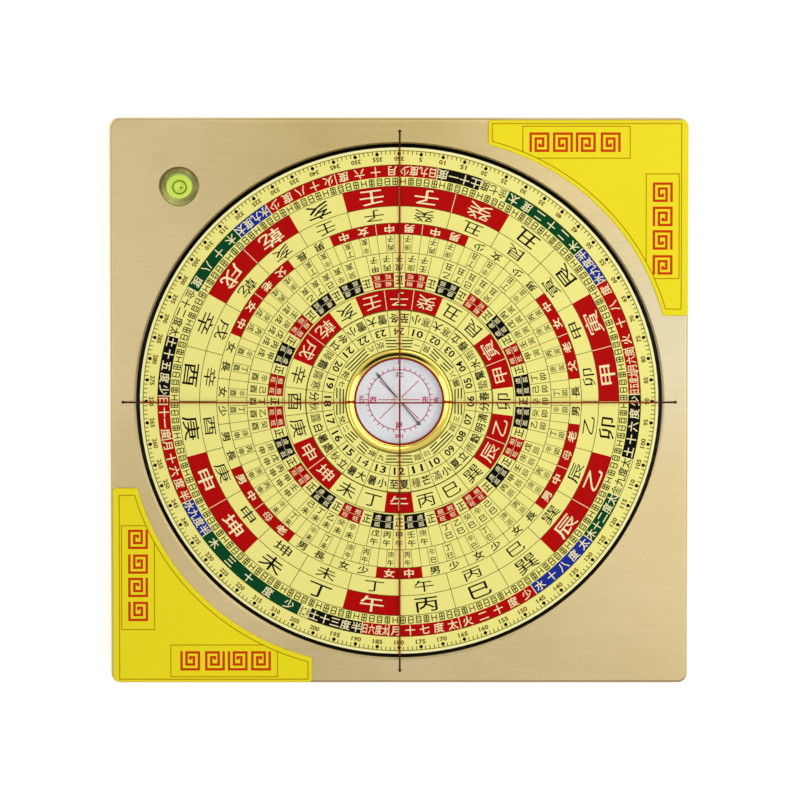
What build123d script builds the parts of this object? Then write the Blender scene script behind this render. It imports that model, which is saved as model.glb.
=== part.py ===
from build123d import *
from math import cos, pi, radians, sin, sqrt, tan
import os

# A feng shui compass: a square base carries a printed dial that turns by hand. A sealed needle
# capsule sits in the middle of the dial, and two taut threads cross over it.
# Millimetres. +Z is up, +Y is where the dial's 360 mark points at rest. The origin is the middle
# of the underside, on the surface that the feet stand on.

# Base housing
base_width = 180.0              # outside length of each of the four edges
base_corner_radius = 3.0        # seen from above
base_edge_radius = 0.9          # rounding of the top edge
side_band_height = 1.6          # upright band under the top edge, before the sides lean in
side_lean_angle = 14.0          # how far the sides lean in towards the underside, in degrees
rim_wall = 8.05                 # from the dial's bore to the outside, where it is narrowest
recess_chamfer = 0.7
housing_wall = 2.5              # between the corner pockets and the outside
recess_wall = 2.5               # between the corner pockets and the dial's bore
plate_thickness = 3.0           # metal above the corner pockets
pocket_start = 48.0             # the corner pockets begin this far from the middle lines
pocket_corner_radius = 3.0

# Bottom cover, its screws and feet
cover_thickness = 3.0
cover_edge_chamfer = 0.5
cover_screw_inset = 14.0        # from the outside of the base, along X and along Y
screw_radius = 1.5
screw_head_radius = 2.9
screw_head_height = 1.5
screw_head_rim = 0.2
screw_length = 9.0
screw_slot_width = 0.6
screw_slot_length = 3.2
screw_slot_depth = 1.0
screw_clearance = 0.05
screw_boss_wall = 2.6
screw_pilot_spare = 1.0         # the pilot hole is this much deeper than the screw
foot_radius = 6.0
foot_height = 1.5
foot_recess_depth = 0.5
foot_edge_chamfer = 0.3
foot_inset = 28.0               # from the outside of the base, along X and along Y
foot_clearance = 0.05

# Raised corner plates
corner_plate_height = 0.8
corner_plate_inset = 0.45       # from the outside of the base
corner_plate_shift = 0.2        # both plates sit this much nearer to the +X side
corner_plate_corner_radius = 2.0
corner_plate_start = 27.5       # the square ends lie this far from the middle lines
corner_plate_end_margin = 4.35  # from the dial's bore to the hollow edge, at its ends
corner_plate_mid_margin = 5.75  # and halfway along it
corner_plate_tip_radius = 0.9
corner_plate_bevel = 0.3

# Round level in the corner opposite
level_inset = 21.6              # from the outside of the base, along X and along Y
level_hole_radius = 6.05
level_hole_chamfer = 0.35
level_floor_gap = 0.05          # between the vial and the floor of its hole
level_boss_wall = 2.0
level_clearance = 0.05
level_sink = 0.2                # top of the vial below the top of the base
level_height = 6.25
level_inner_radius = 4.1
level_lens_thickness = 1.2
level_rim_chamfer = 0.2
level_ceiling_radius = 40.0     # radius of the ground hollow that centres the bubble
level_plug_thickness = 3.2
level_liquid_clearance = 0.02
bubble_radius = 1.5
bubble_depth = 0.45

# Dial bearing
glide_ring_thickness = 0.5
glide_ring_width = 10.85
glide_ring_clearance = 0.1
rim_running_gap = 0.05
journal_radius = 5.0
journal_clearance = 0.05
bush_wall = 1.95
bush_flange_width = 2.5
bush_flange_thickness = 0.8
bush_seat_clearance = 0.05
bush_well_depth = 1.2           # round well in the underside for the washer and clip
bush_well_gap = 1.1             # between the well and the washer
washer_thickness = 0.25
washer_width = 3.5
clip_thickness = 0.5
clip_width = 2.6                # beyond the spindle
clip_opening_angle = 60.0       # in degrees
clip_groove_depth = 0.9
end_float = 0.05                # play along the axis between turning and fixed faces
spindle_flange_margin = 2.5     # beyond the flange of the bush
spindle_flange_thickness = 1.0
spindle_boss_radius = 4.0
spindle_boss_height = 1.15
spindle_end_setback = 0.1       # spindle's end above the lowest face of the cover

# Dial
dial_gap = 1.11                 # all round the dial
dial_face_drop = 0.6            # face of the dial below the top of the base
dial_face_thickness = 0.4
dial_face_margin = 0.1          # edge of the disc outside the printed face
dial_edge_chamfer = 0.1
dial_foot_chamfer = 0.5
dial_hub_wall = 8.4             # underside: hub round the capsule, thinned web and rim
dial_rim_width = 10.84
dial_web_depth = 2.4
dial_rib_count = 8
dial_rib_width = 4.0

# Needle capsule
capsule_seat_gap = 0.05         # round each piece that drops into another
cup_inner_radius = 14.0
cup_wall = 1.6
cup_floor_thickness = 1.0
card_ledge_width = 1.4
card_ledge_height = 0.9         # above the floor of the cup
card_thickness = 0.5
card_hole_radius = 0.9
spacer_width = 0.4
glass_ledge_width = 0.9
glass_thickness = 1.0
gasket_thickness = 0.15
gasket_width = 1.45
bezel_lip = 0.95                # how far the bezel reaches over the glass
bezel_skirt_wall = 0.6
bezel_flange = 0.25             # beyond the skirt, on the dial's face
bezel_rise = 0.5                # top of the bezel above the dial's face
bezel_skirt_depth = 1.5
bezel_crown_width = 0.5
bezel_edge_width = 0.3
bezel_edge_drop = 0.25
bezel_slope_width = 0.9
bezel_slope_drop = 0.2
pin_radius = 0.6
pin_cone_height = 0.96
pin_boss_radius = 2.0
pin_boss_height = 0.45
pin_socket_depth = 0.6
pin_tip_height = 1.2            # above the card's face

# Needle
needle_azimuth = 320.8          # compass bearing that the tip shows at rest, in degrees
needle_tip_gap = 1.95           # from the tip to the wall of the capsule
needle_tail_gap = 4.05          # from the middle of the tail ring to that wall
needle_thickness = 0.25
needle_stem_width = 0.32
needle_head_length = 2.8
needle_head_width = 0.75
needle_head_share = 0.55        # where the arrow head is widest, as a share of its length
needle_eye_radius = 0.33
needle_ring_radius = 0.62
needle_hub_radius = 1.0
cap_radius = 1.2
cap_neck_radius = 0.72
cap_height = 0.65
cap_neck_height = 0.45
cap_top_radius = 0.7
cap_bore_radius = 0.5
cap_pin_gap = 0.05
cap_glass_gap = 0.2
needle_seat_gap = 0.02

# Cross threads
thread_radius = 0.25
thread_mouth_inset = 4.0        # where the holes open, from the outside of the base
thread_anchor_step = 1.0        # the ferrules sit this much nearer to the middle
thread_rest_gap = 0.05          # between thread and base
thread_cross_gap = 0.06         # between the two threads where they cross
thread_bend_radius = 0.7
thread_crest_radius = 10.0
thread_hole_radius = 0.4
thread_mouth_radius = 0.5
thread_mouth_depth = 0.1
thread_tail = 0.2
ns_thread_offset = 0.2          # the threads don't cross exactly at the middle
ew_thread_offset = -0.15
ferrule_radius = 0.9
ferrule_length = 1.3
ferrule_bore_gap = 0.02
ferrule_pocket_gap = 0.45       # round the ferrule
ferrule_pocket_spare = 0.3      # above the ferrule
ferrule_lift = 0.4              # above the cover

overrun = 1.0                   # how far cutting tools reach past what they cut
quarter_turn = 90               # in degrees

# Radii and places that follow from the sizes above
base_half = base_width / 2
recess_radius = base_half - rim_wall
cover_screw_place = base_half - cover_screw_inset
foot_place = base_half - foot_inset
level_place = base_half - level_inset
corner_plate_end_radius = recess_radius + corner_plate_end_margin
corner_plate_mid_radius = recess_radius + corner_plate_mid_margin
glide_ring_outer_radius = recess_radius - glide_ring_clearance
bush_bore_radius = journal_radius + journal_clearance
bush_radius = bush_bore_radius + bush_wall
bush_flange_radius = bush_radius + bush_flange_width
washer_radius = journal_radius + washer_width
bush_well_radius = washer_radius + bush_well_gap
clip_radius = journal_radius + clip_width
spindle_flange_radius = bush_flange_radius + spindle_flange_margin
dial_radius = recess_radius - dial_gap
dial_face_radius = dial_radius - dial_face_margin
dial_rim_inner_radius = dial_radius - dial_rim_width
cup_radius = cup_inner_radius + cup_wall
dial_hub_radius = cup_radius + dial_hub_wall
card_radius = cup_inner_radius - capsule_seat_gap
card_ledge_radius = cup_inner_radius - card_ledge_width
spacer_inner_radius = card_radius - spacer_width
glass_radius = cup_inner_radius + glass_ledge_width
gasket_inner_radius = glass_radius - gasket_width
bezel_inner_radius = glass_radius - bezel_lip
bezel_skirt_inner_radius = cup_radius + capsule_seat_gap
bezel_skirt_radius = bezel_skirt_inner_radius + bezel_skirt_wall
bezel_seat_radius = bezel_skirt_radius + capsule_seat_gap
bezel_radius = bezel_skirt_radius + bezel_flange
needle_length_front = spacer_inner_radius - needle_tip_gap
needle_length_tail = spacer_inner_radius - needle_tail_gap
thread_mouth_place = base_half - thread_mouth_inset
thread_anchor_place = thread_mouth_place - thread_anchor_step
ferrule_pocket_radius = ferrule_radius + ferrule_pocket_gap

# Heights, from the table upwards
cover_bottom_z = foot_height - foot_recess_depth
cover_top_z = cover_bottom_z + cover_thickness
bush_bottom_z = cover_bottom_z + bush_well_depth
bush_top_z = cover_top_z + bush_flange_thickness
washer_top_z = bush_bottom_z - end_float
washer_bottom_z = washer_top_z - washer_thickness
clip_bottom_z = washer_bottom_z - clip_thickness
spindle_end_z = cover_bottom_z + spindle_end_setback
spindle_flange_z = bush_top_z + end_float
spindle_flange_top_z = spindle_flange_z + spindle_flange_thickness
pocket_floor_z = spindle_flange_top_z + spindle_boss_height
cup_floor_z = pocket_floor_z + cup_floor_thickness
card_bottom_z = cup_floor_z + card_ledge_height
card_top_z = card_bottom_z + card_thickness
pin_tip_z = card_top_z + pin_tip_height
cap_bore_top_z = pin_tip_z + cap_pin_gap
cap_bottom_z = cap_bore_top_z - pin_cone_height * cap_bore_radius / pin_radius
needle_top_z = cap_bottom_z + cap_neck_height
needle_bottom_z = needle_top_z - needle_thickness
cap_top_z = needle_top_z + cap_height
glass_bottom_z = cap_top_z + cap_glass_gap
dial_face_z = glass_bottom_z + glass_thickness
dial_bottom_z = cover_top_z + glide_ring_thickness + rim_running_gap
dial_plate_top_z = dial_face_z - dial_face_thickness
gasket_top_z = dial_face_z + gasket_thickness
bezel_top_z = dial_face_z + bezel_rise
skirt_bottom_z = dial_face_z - bezel_skirt_depth
plate_top_z = dial_face_z + dial_face_drop
shoulder_z = plate_top_z - side_band_height
level_top_z = plate_top_z - level_sink
level_bottom_z = level_top_z - level_height
level_hole_floor_z = level_bottom_z - level_floor_gap
level_ceiling_z = level_top_z - level_lens_thickness
thread_run_z = plate_top_z + thread_rest_gap + thread_radius
thread_crest_z = thread_run_z + 2 * thread_radius + thread_cross_gap
thread_anchor_z = cover_top_z + ferrule_lift
thread_slope = thread_anchor_step / (plate_top_z - thread_anchor_z)
thread_corner_place = thread_mouth_place + thread_slope * (thread_run_z - plate_top_z)
ferrule_pocket_top_z = thread_anchor_z + ferrule_length + ferrule_pocket_spare

bottom_aligned = (Align.CENTER, Align.CENTER, Align.MIN)
corner_signs = [(1, 1), (-1, 1), (-1, -1), (1, -1)]


def disc(radius, low_z, high_z, x=0, y=0):
    return Pos(x, y, low_z) * Cylinder(radius, high_z - low_z, align=bottom_aligned)


def ring(outer_radius, inner_radius, low_z, high_z, x=0, y=0):
    hole = disc(inner_radius, low_z - overrun, high_z + overrun, x, y)
    return disc(outer_radius, low_z, high_z, x, y) - hole


def turned(points, x=0, y=0):
    """A solid of revolution about the vertical through (x, y) from (radius, height) points."""
    outline = Plane.XZ * Polyline(*points, close=True)
    return Pos(x, y, 0) * revolve(make_face(outline), Axis.Z)


def side_at(z):
    """Outside length of the leaning sides at height z."""
    return base_width - 2 * (shoulder_z - z) * tan(radians(side_lean_angle))


def square_at(z, shrink=0):
    side = side_at(z) - 2 * shrink
    return Pos(0, 0, z) * RectangleRounded(side, side, base_corner_radius - shrink)


def leaning_slab(low_z, high_z, low_shrink=0):
    return loft([square_at(low_z, low_shrink), square_at(high_z)], ruled=True)


def thread_end_place(quarter):
    """Place of the thread end that lies this many quarter turns from +X, on its thread's own line."""
    along_x = quarter % 2 == 0
    shift = Pos(0, ew_thread_offset, 0) if along_x else Pos(ns_thread_offset, 0, 0)
    return shift * Rot(0, 0, quarter * quarter_turn)


def anchor_plane(along=0):
    """Plane across a thread at its anchor, moved along the thread's sloping hole."""
    rise = Vector(thread_slope, 0, 1).normalized()
    start = Vector(thread_anchor_place, 0, thread_anchor_z) + rise * along
    return Plane(origin=start, x_dir=(0, 1, 0), z_dir=rise)


def all_thread_ends(tool):
    return [thread_end_place(quarter) * tool for quarter in range(4)]


def corner_pocket_outline():
    """The four hollows under the corners, between the dial's bore and the outside."""
    inner_side = side_at(cover_top_z) - 2 * housing_wall
    bar = inner_side + 2 * overrun
    outline = RectangleRounded(inner_side, inner_side, pocket_corner_radius)
    outline -= Circle(recess_radius + recess_wall)
    outline -= Rectangle(2 * pocket_start, bar) + Rectangle(bar, 2 * pocket_start)
    for sign_x, sign_y in corner_signs:
        place = Pos(sign_x * cover_screw_place, sign_y * cover_screw_place)
        outline -= place * Circle(screw_radius + screw_boss_wall)
    outline -= Pos(-level_place, level_place) * Circle(level_hole_radius + level_boss_wall)
    return outline


def base_frame():
    band_outline = Pos(0, 0, shoulder_z) * RectangleRounded(base_width, base_width, base_corner_radius)
    band = extrude(band_outline, side_band_height)
    band = fillet(band.faces().sort_by(Axis.Z)[-1].edges(), base_edge_radius)
    frame = band + leaning_slab(cover_top_z, shoulder_z)
    frame -= turned([
        (0, cover_top_z - overrun),
        (recess_radius, cover_top_z - overrun),
        (recess_radius, plate_top_z - recess_chamfer),
        (recess_radius + recess_chamfer + overrun, plate_top_z + overrun),
        (0, plate_top_z + overrun),
    ])
    pocket_roof_z = plate_top_z - plate_thickness
    pockets = Pos(0, 0, cover_top_z - overrun) * corner_pocket_outline()
    frame -= extrude(pockets, pocket_roof_z - cover_top_z + overrun)
    frame -= turned([
        (0, level_hole_floor_z),
        (level_hole_radius, level_hole_floor_z),
        (level_hole_radius, plate_top_z - level_hole_chamfer),
        (level_hole_radius + level_hole_chamfer + overrun, plate_top_z + overrun),
        (0, plate_top_z + overrun),
    ], -level_place, level_place)
    pilot_top_z = cover_bottom_z + screw_length + screw_pilot_spare
    for sign_x, sign_y in corner_signs:
        frame -= disc(screw_radius + screw_clearance, cover_top_z - overrun, pilot_top_z,
                      sign_x * cover_screw_place, sign_y * cover_screw_place)
    hole = extrude(anchor_plane() * Circle(thread_hole_radius), plate_top_z - cover_top_z + overrun)
    mouth = Pos(thread_mouth_place, 0, plate_top_z - thread_mouth_depth) * Cone(
        thread_hole_radius, thread_mouth_radius + thread_mouth_depth, 2 * thread_mouth_depth,
        align=bottom_aligned)
    pocket = disc(ferrule_pocket_radius, cover_top_z - overrun, ferrule_pocket_top_z,
                  thread_anchor_place)
    for tool in (hole, mouth, pocket):
        for end in all_thread_ends(tool):
            frame -= end
    return frame


def base_cover():
    bevel_top_z = cover_bottom_z + cover_edge_chamfer
    cover = leaning_slab(cover_bottom_z, bevel_top_z, cover_edge_chamfer)
    cover += leaning_slab(bevel_top_z, cover_top_z)
    cover -= disc(bush_radius + bush_seat_clearance, cover_bottom_z - overrun, cover_top_z + overrun)
    cover -= disc(bush_well_radius, cover_bottom_z - overrun, bush_bottom_z)
    for sign_x, sign_y in corner_signs:
        x, y = sign_x * cover_screw_place, sign_y * cover_screw_place
        cover -= screw_form(screw_clearance, overrun, x, y)
        cover -= disc(foot_radius + foot_clearance, cover_bottom_z - overrun,
                      cover_bottom_z + foot_recess_depth, sign_x * foot_place, sign_y * foot_place)
    return cover


def screw_form(spare, reach, x, y):
    """A countersunk screw from below. The hole for it has spare room and reaches past the face."""
    rim_z = cover_bottom_z + screw_head_rim
    cone_top_z = cover_bottom_z + screw_head_height
    head, shank = screw_head_radius + spare, screw_radius + spare
    return turned([
        (0, cover_bottom_z - reach), (head, cover_bottom_z - reach), (head, rim_z),
        (shank, cone_top_z), (shank, cover_bottom_z + screw_length + spare),
        (0, cover_bottom_z + screw_length + spare),
    ], x, y)


def cover_screw(x, y):
    screw = screw_form(0, 0, x, y)
    slot_height = screw_slot_depth + overrun
    slot = Box(screw_slot_length, screw_slot_width, slot_height, align=bottom_aligned)
    cross = slot + Rot(0, 0, 90) * slot
    return screw - Pos(x, y, cover_bottom_z - overrun) * cross


def foot(x, y):
    return turned([
        (0, 0), (foot_radius - foot_edge_chamfer, 0), (foot_radius, foot_edge_chamfer),
        (foot_radius, foot_height), (0, foot_height),
    ], x, y)


def corner_plate():
    """The plate at +X +Y. Its hollow edge follows the dial, and its ends are cut square."""
    outer = base_half - corner_plate_inset
    hollow_end = sqrt(corner_plate_end_radius ** 2 - corner_plate_start ** 2)
    hollow_mid = corner_plate_mid_radius * cos(radians(quarter_turn / 2))
    sides = Polyline(
        (corner_plate_start, hollow_end), (corner_plate_start, outer), (outer, outer),
        (outer, corner_plate_start), (hollow_end, corner_plate_start))
    hollow = ThreePointArc(sides @ 1, (hollow_mid, hollow_mid), sides @ 0)
    plate = extrude(Pos(0, 0, plate_top_z) * make_face(sides + hollow), corner_plate_height)
    uprights = plate.edges().filter_by(Axis.Z).sort_by_distance((outer, outer, plate_top_z))
    plate = fillet(uprights[0], corner_plate_corner_radius)
    tips = plate.edges().filter_by(Axis.Z).filter_by(
        lambda edge: min(edge.center().X, edge.center().Y) < corner_plate_start + corner_plate_bevel)
    plate = fillet(tips, corner_plate_tip_radius)
    return chamfer(plate.faces().sort_by(Axis.Z)[-1].edges(), corner_plate_bevel)


def level_ceiling():
    """Everything under the ground hollow of the level's lens."""
    ball = Pos(-level_place, level_place, level_ceiling_z - level_ceiling_radius)
    return ball * Sphere(level_ceiling_radius)


def level_vial():
    x, y = -level_place, level_place
    vial = disc(level_hole_radius - level_clearance, level_bottom_z, level_top_z, x, y)
    vial = chamfer(vial.faces().sort_by(Axis.Z)[-1].edges(), level_rim_chamfer)
    chamber = disc(level_inner_radius, level_bottom_z - overrun, level_ceiling_z + overrun, x, y)
    return vial - (chamber & level_ceiling())


def level_plug():
    return disc(level_inner_radius - level_clearance, level_bottom_z,
                level_bottom_z + level_plug_thickness, -level_place, level_place)


def level_liquid():
    """Fills the chamber. The bubble is left out of it as a flat hollow under the lens."""
    x, y = -level_place, level_place
    low_z = level_bottom_z + level_plug_thickness
    chamber = disc(level_inner_radius - level_liquid_clearance, low_z, level_ceiling_z + overrun, x, y)
    liquid = chamber & (Pos(0, 0, -level_liquid_clearance) * level_ceiling())
    bubble_ball_radius = (bubble_radius ** 2 + bubble_depth ** 2) / (2 * bubble_depth)
    bubble_z = level_ceiling_z - bubble_depth + bubble_ball_radius
    return liquid - Pos(x, y, bubble_z) * Sphere(bubble_ball_radius)


def dial_bush():
    bush = disc(bush_radius, bush_bottom_z, cover_top_z)
    bush += disc(bush_flange_radius, cover_top_z, bush_top_z)
    return bush - disc(bush_bore_radius, bush_bottom_z - overrun, bush_top_z + overrun)


def glide_ring():
    return ring(glide_ring_outer_radius, glide_ring_outer_radius - glide_ring_width,
                cover_top_z, cover_top_z + glide_ring_thickness)


def thread_route(rises):
    """Centre line of one thread along X: up a sloping hole, across, and down the other."""
    end_z = thread_anchor_z - thread_tail
    end_place = thread_anchor_place - thread_slope * thread_tail
    points = [(-end_place, end_z), (-thread_corner_place, thread_run_z)]
    radii = [thread_bend_radius]
    if rises:
        points.append((0, thread_crest_z))
        radii.append(thread_crest_radius)
    points += [(thread_corner_place, thread_run_z), (end_place, end_z)]
    radii.append(thread_bend_radius)
    return Plane.XZ * FilletPolyline(*points, radius=radii), radii


def cross_thread(name, quarter, rises):
    route, radii = thread_route(rises)
    start = Plane(origin=route @ 0, x_dir=(0, 1, 0), z_dir=route % 0)
    tube = sweep(start * Circle(thread_radius), path=route)
    expected = pi * thread_radius ** 2 * route.length
    print("thread", name, "length", round(route.length, 1), "bend radii", radii,
          "volume", round(tube.volume, 2), "expected", round(expected, 2))
    return thread_end_place(quarter) * tube


def ferrule():
    base = anchor_plane()
    outside = extrude(base * Circle(ferrule_radius), ferrule_length)
    bore_start = anchor_plane(-overrun) * Circle(thread_radius + ferrule_bore_gap)
    return outside - extrude(bore_start, ferrule_length + 2 * overrun)


def dial_plate():
    plate = turned([
        (0, dial_bottom_z), (dial_radius - dial_foot_chamfer, dial_bottom_z),
        (dial_radius, dial_bottom_z + dial_foot_chamfer),
        (dial_radius, dial_plate_top_z - dial_edge_chamfer),
        (dial_radius - dial_edge_chamfer, dial_plate_top_z), (0, dial_plate_top_z),
    ])
    web = ring(dial_rim_inner_radius, dial_hub_radius,
               dial_bottom_z - overrun, dial_bottom_z + dial_web_depth)
    for index in range(dial_rib_count):
        rib = Box(2 * dial_rim_inner_radius, dial_rib_width, 2 * dial_web_depth,
                  align=(Align.MIN, Align.CENTER, Align.CENTER))
        web -= Pos(0, 0, dial_bottom_z) * Rot(0, 0, 360 / dial_rib_count * index) * rib
    plate -= web
    plate -= disc(cup_radius + capsule_seat_gap, pocket_floor_z, dial_plate_top_z + overrun)
    plate -= disc(bezel_seat_radius, skirt_bottom_z, dial_plate_top_z + overrun)
    plate -= disc(spindle_flange_radius + bush_seat_clearance, dial_bottom_z - overrun,
                  spindle_flange_top_z)
    return plate - disc(spindle_boss_radius + bush_seat_clearance, spindle_flange_top_z - overrun,
                        pocket_floor_z + overrun)


def dial_face():
    return ring(dial_face_radius, bezel_seat_radius, dial_plate_top_z, dial_face_z)


def dial_spindle():
    groove_radius = journal_radius - clip_groove_depth
    spindle = disc(journal_radius, spindle_end_z, spindle_flange_z)
    spindle += disc(spindle_flange_radius, spindle_flange_z, spindle_flange_top_z)
    spindle += disc(spindle_boss_radius, spindle_flange_top_z, pocket_floor_z)
    return spindle - ring(journal_radius + overrun, groove_radius, clip_bottom_z, washer_bottom_z)


def thrust_washer():
    return ring(washer_radius, bush_bore_radius, washer_bottom_z, washer_top_z)


def retaining_clip():
    clip = ring(clip_radius, journal_radius - clip_groove_depth + journal_clearance,
                clip_bottom_z, washer_bottom_z)
    half_opening = clip_radius * sin(radians(clip_opening_angle / 2))
    opening = Box(clip_radius + overrun, 2 * half_opening, 2 * clip_thickness,
                  align=(Align.MIN, Align.CENTER, Align.CENTER))
    return clip - Pos(0, 0, clip_bottom_z) * opening


def capsule_cup():
    """Open cup with a step for the card, a rebate for the glass and a boss for the pin."""
    boss_top_z = cup_floor_z + pin_boss_height
    cup = turned([
        (0, pocket_floor_z), (cup_radius, pocket_floor_z), (cup_radius, dial_face_z),
        (glass_radius + capsule_seat_gap, dial_face_z),
        (glass_radius + capsule_seat_gap, glass_bottom_z), (cup_inner_radius, glass_bottom_z),
        (cup_inner_radius, card_bottom_z), (card_ledge_radius, card_bottom_z),
        (card_ledge_radius, cup_floor_z), (pin_boss_radius, cup_floor_z),
        (pin_boss_radius, boss_top_z), (0, boss_top_z),
    ])
    return cup - disc(pin_radius + needle_seat_gap, boss_top_z - pin_socket_depth, boss_top_z + overrun)


def pivot_pin():
    foot_z = cup_floor_z + pin_boss_height - pin_socket_depth
    return turned([
        (0, foot_z), (pin_radius, foot_z), (pin_radius, pin_tip_z - pin_cone_height), (0, pin_tip_z),
    ])


def compass_card():
    return ring(card_radius, card_hole_radius, card_bottom_z, card_top_z)


def spacer_ring():
    return ring(card_radius, spacer_inner_radius, card_top_z, glass_bottom_z)


def capsule_glass():
    return disc(glass_radius, glass_bottom_z, dial_face_z)


def glass_gasket():
    return ring(glass_radius, gasket_inner_radius, dial_face_z, gasket_top_z)


def bezel():
    """Pressed ring: a skirt in the dial, a rounded edge, a crown, a slope and a flat lip over the glass."""
    crown_outer = bezel_radius - bezel_edge_width
    crown_inner = crown_outer - bezel_crown_width
    slope_foot = crown_inner - bezel_slope_width
    lip_z = bezel_top_z - bezel_slope_drop
    return turned([
        (bezel_skirt_inner_radius, skirt_bottom_z), (bezel_skirt_radius, skirt_bottom_z),
        (bezel_skirt_radius, dial_face_z), (bezel_radius, dial_face_z),
        (bezel_radius, bezel_top_z - bezel_edge_drop), (crown_outer, bezel_top_z),
        (crown_inner, bezel_top_z), (slope_foot, lip_z), (bezel_inner_radius, lip_z),
        (bezel_inner_radius, gasket_top_z), (bezel_skirt_inner_radius, gasket_top_z),
    ])


def needle():
    """Thin steel needle: a slim arrow head, a hub with a hole for the cap and a ring at the tail."""
    widest = needle_length_front - needle_head_length * needle_head_share
    head_start = needle_length_front - needle_head_length
    half = needle_stem_width / 2
    outline = make_face(Polyline(
        (-half, -needle_length_tail), (half, -needle_length_tail), (half, head_start),
        (needle_head_width / 2, widest), (0, needle_length_front),
        (-needle_head_width / 2, widest), (-half, head_start), close=True))
    outline += Circle(needle_hub_radius)
    outline += Pos(0, -needle_length_tail) * Circle(needle_ring_radius)
    outline -= Pos(0, -needle_length_tail) * Circle(needle_eye_radius)
    outline -= Circle(cap_neck_radius + needle_seat_gap)
    flat = extrude(Pos(0, 0, needle_bottom_z) * outline, needle_thickness)
    return Rot(0, 0, -needle_azimuth) * flat


def needle_cap():
    """Brass cap with a conical cup that rides on the tip of the pin."""
    return turned([
        (cap_bore_radius, cap_bottom_z), (cap_neck_radius, cap_bottom_z),
        (cap_neck_radius, needle_top_z), (cap_radius, needle_top_z),
        (cap_top_radius, cap_top_z), (0, cap_top_z), (0, cap_bore_top_z),
    ])


os.makedirs("parts", exist_ok=True)
nodes = {
    "base_frame": base_frame(),
    "base_cover": base_cover(),
    "cover_screws": Compound(children=[
        cover_screw(sx * cover_screw_place, sy * cover_screw_place) for sx, sy in corner_signs]),
    "feet": Compound(children=[foot(sx * foot_place, sy * foot_place) for sx, sy in corner_signs]),
    "corner_plate_ne": Pos(corner_plate_shift, 0) * corner_plate(),
    "corner_plate_sw": Pos(corner_plate_shift, 0) * Rot(0, 0, 2 * quarter_turn) * corner_plate(),
    "level_vial": level_vial(),
    "level_plug": level_plug(),
    "level_liquid": level_liquid(),
    "dial_bush": dial_bush(),
    "glide_ring": glide_ring(),
    "thread_north_south": cross_thread("north-south", 1, rises=False),
    "thread_east_west": cross_thread("east-west", 0, rises=True),
    "thread_ferrules": Compound(children=all_thread_ends(ferrule())),
    "dial_plate": dial_plate(),
    "dial_face": dial_face(),
    "dial_spindle": dial_spindle(),
    "thrust_washer": thrust_washer(),
    "retaining_clip": retaining_clip(),
    "capsule_cup": capsule_cup(),
    "pivot_pin": pivot_pin(),
    "compass_card": compass_card(),
    "spacer_ring": spacer_ring(),
    "capsule_glass": capsule_glass(),
    "glass_gasket": glass_gasket(),
    "bezel": bezel(),
    "needle": needle(),
    "needle_cap": needle_cap(),
}
for name, solid in nodes.items():
    export_step(solid, f"parts/{name}.step")
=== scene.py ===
"""A feng shui compass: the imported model's finishes, the dial's print, the studio and the camera."""
from collections import Counter
from math import asin, cos, degrees, dist, pi, radians, sin, sqrt

import bpy
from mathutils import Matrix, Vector


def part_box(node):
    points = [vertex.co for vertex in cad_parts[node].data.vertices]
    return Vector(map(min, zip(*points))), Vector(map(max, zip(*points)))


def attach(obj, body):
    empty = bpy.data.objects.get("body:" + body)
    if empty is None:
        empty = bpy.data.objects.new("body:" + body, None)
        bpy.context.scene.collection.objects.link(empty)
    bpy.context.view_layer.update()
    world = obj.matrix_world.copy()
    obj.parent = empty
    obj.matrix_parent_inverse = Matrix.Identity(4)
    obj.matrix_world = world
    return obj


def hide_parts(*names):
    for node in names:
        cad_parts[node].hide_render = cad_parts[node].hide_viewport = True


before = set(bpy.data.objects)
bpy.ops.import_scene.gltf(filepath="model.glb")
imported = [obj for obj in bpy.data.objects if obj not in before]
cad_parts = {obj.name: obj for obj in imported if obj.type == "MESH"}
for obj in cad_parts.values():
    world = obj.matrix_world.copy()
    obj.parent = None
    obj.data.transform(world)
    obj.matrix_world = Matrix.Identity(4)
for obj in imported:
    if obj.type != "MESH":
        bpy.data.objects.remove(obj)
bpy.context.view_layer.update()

scene = bpy.context.scene

MM = 0.001

# Heights of the printed faces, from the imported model
base_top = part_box("base_frame")[1].z
plate_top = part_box("corner_plate_ne")[1].z
face_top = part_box("dial_face")[1].z
card_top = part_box("compass_card")[1].z
vial_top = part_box("level_vial")[1].z
bezel_low, bezel_high = (corner.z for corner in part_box("bezel"))

# Camera: a long lens almost overhead, tipped a little past the vertical from the north
image_side = 800
pixel_size = 0.31142 * MM
camera_tilt = 12.45  # degrees from the vertical
camera_distance = 5.5
camera_sensor = 36.0
camera_clip = (0.5, 20.0)
aim_right = 0.85  # pixels from the middle of the base to the middle of the picture
aim_up = 1.8

# Lamps: name, bearing and elevation in degrees, distance, width, power and colour
lamps = [
    ("key", 46, 61, 0.5, 0.4, 1.05, (1.0, 0.98, 0.95)),
    ("panel_west", 236, 60.5, 0.55, 0.18, 0.26, (1.0, 1.0, 1.0)),
    ("panel_east", 124, 60.5, 0.55, 0.18, 0.3, (1.0, 1.0, 1.0)),
]

# The room that metal and glass mirror, with X, Y and Z of the direction from -1 to 1
daylight = 0.57
horizon_heights = (0.35, 0.1)  # it shows below the first and is full from the second
horizon_turn = (-0.4, 0.05)  # dim south of the first, bright north of the second
horizon_gain = (0.5, 3.5)  # in the middle of the north, and in the east and west
horizon_loss = 0.8  # taken off all round
patch_direction = (0.05, -0.63, 0.777)
patch_angles = (22, 14)  # a dark panel fades out between these, in degrees
patch_share = 0.04  # brightness that is left in it

# Table
table_reach = 6.0  # half of its width
table_drop = 0.05 * MM
table_glow = 0.5  # of the table where it is seen
table_side_glow = 0.45  # and more where the compass's left and right mirror it

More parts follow.
